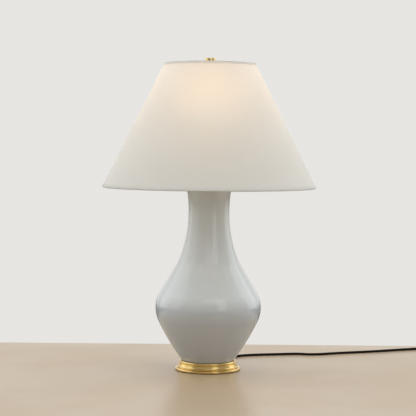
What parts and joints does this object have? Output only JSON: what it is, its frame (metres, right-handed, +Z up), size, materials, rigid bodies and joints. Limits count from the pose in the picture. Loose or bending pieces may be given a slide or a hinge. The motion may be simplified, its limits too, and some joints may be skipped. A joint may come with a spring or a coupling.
{
  "type": "table lamp",
  "caption": "Table lamp with a gourd shaped glazed ceramic body on a turned brass base, an empire shade on a harp, a turn key socket and a cord with a plug.",
  "frame": {"origin": "centre of the underside of the felt pad, on the surface that the lamp stands on", "axes": "+Z up along the lamp's axis, front towards -Y where the key is, cord leaving the back towards +Y"},
  "size_m": [0.8949, 0.6034, 0.7401],
  "materials": {
    "felt": "pressed felt",
    "steel": "zinc plated",
    "brass": "polished and lacquered",
    "rubber": "matt",
    "glaze": "glossy glaze",
    "lead_cover": "matt",
    "liner_board": "pressed board",
    "moulding": "moulded",
    "contact_metal": "bright",
    "cord_cloth": "braided cover",
    "plug_moulding": "moulded",
    "knob_moulding": "moulded",
    "bulb_metal": "rolled",
    "bulb_glass": "frosted",
    "frame_metal": "white enamel",
    "shade_linen": "fine linen on a stiff liner",
    "shade_trim": "folded linen tape"
  },
  "bodies": {
    "lamp_body": {"felt_pad": "felt", "weight_plate": "steel", "base_ring": "brass", "cord_bushing": "rubber", "foot_gasket": "rubber", "vase": "glaze", "threaded_pipe": "steel", "pipe_washer": "steel", "pipe_nut": "steel", "inner_lead": "lead_cover", "vase_cap": "brass", "neck_spacer": "brass", "harp_saddle": "steel", "socket_cap": "brass", "socket_set_screw": "steel", "socket_shell": "brass", "socket_liner": "liner_board", "socket_block": "moulding", "screw_shell": "contact_metal", "centre_contact": "contact_metal", "terminal_screws": "contact_metal", "cord_run": "cord_cloth", "cord_coil": "cord_cloth", "plug_body": "plug_moulding", "plug_blades": "contact_metal"},
    "switch_key": {"switch_stem": "steel", "switch_knob": "knob_moulding"},
    "bulb_contact": {"bulb_tip": "steel"},
    "bulb": {"bulb_cap": "bulb_metal", "bulb_glass": "bulb_glass"},
    "harp": {"harp_wire": "brass", "harp_seat": "brass"},
    "sleeve_left": {"harp_sleeve_left": "brass"},
    "sleeve_right": {"harp_sleeve_right": "brass"},
    "seat_washer": {"seat_washer": "rubber"},
    "shade": {"shade_hub": "frame_metal", "shade_spider": "frame_metal", "shade_bottom_ring": "frame_metal", "shade_skin": "shade_linen", "shade_top_tape": "shade_trim", "shade_bottom_tape": "shade_trim"},
    "finial_washer": {"finial_washer": "brass"},
    "finial": {"finial": "brass"}
  },
  "joints": [
    {"name": "switch_turn", "type": "hinge", "parent": "lamp_body", "child": "switch_key", "pos_m": [0, -0.03, 0.503], "axis": [0, -1, 0], "continuous": true},
    {"name": "bulb_rise", "type": "slide", "parent": "lamp_body", "child": "bulb_contact", "axis": [0, 0, 1], "range_m": [0, 0.01816]},
    {"name": "bulb_turn", "type": "hinge", "parent": "bulb_contact", "child": "bulb", "pos_m": [0, 0, 0.53], "axis": [0, 0, 1], "range_deg": [0, 1800]},
    {"name": "harp_lift", "type": "slide", "parent": "lamp_body", "child": "harp", "axis": [0, 0, 1], "range_m": [0, 0.03]},
    {"name": "sleeve_left_slide", "type": "slide", "parent": "harp", "child": "sleeve_left", "axis": [0, 0, 1], "range_m": [0, 0.0135]},
    {"name": "sleeve_right_slide", "type": "slide", "parent": "harp", "child": "sleeve_right", "axis": [0, 0, 1], "range_m": [0, 0.0135]},
    {"name": "shade_lift", "type": "slide", "parent": "harp", "child": "seat_washer", "axis": [0, 0, 1], "range_m": [0, 0.3]},
    {"name": "shade_turn", "type": "hinge", "parent": "seat_washer", "child": "shade", "pos_m": [0, 0, 0.718], "axis": [0, 0, 1], "continuous": true},
    {"name": "finial_rise", "type": "slide", "parent": "seat_washer", "child": "finial_washer", "axis": [0, 0, 1], "range_m": [0, 0.0113]},
    {"name": "finial_turn", "type": "hinge", "parent": "finial_washer", "child": "finial", "pos_m": [0, 0, 0.73], "axis": [0, 0, 1], "range_deg": [0, 4320]}
  ],
  "couplings": [
    {"joint": "bulb_rise", "follows": "bulb_turn", "m_per_rad": 0.00057757},
    {"joint": "finial_rise", "follows": "finial_turn", "m_per_rad": 0.00014972}
  ]
}
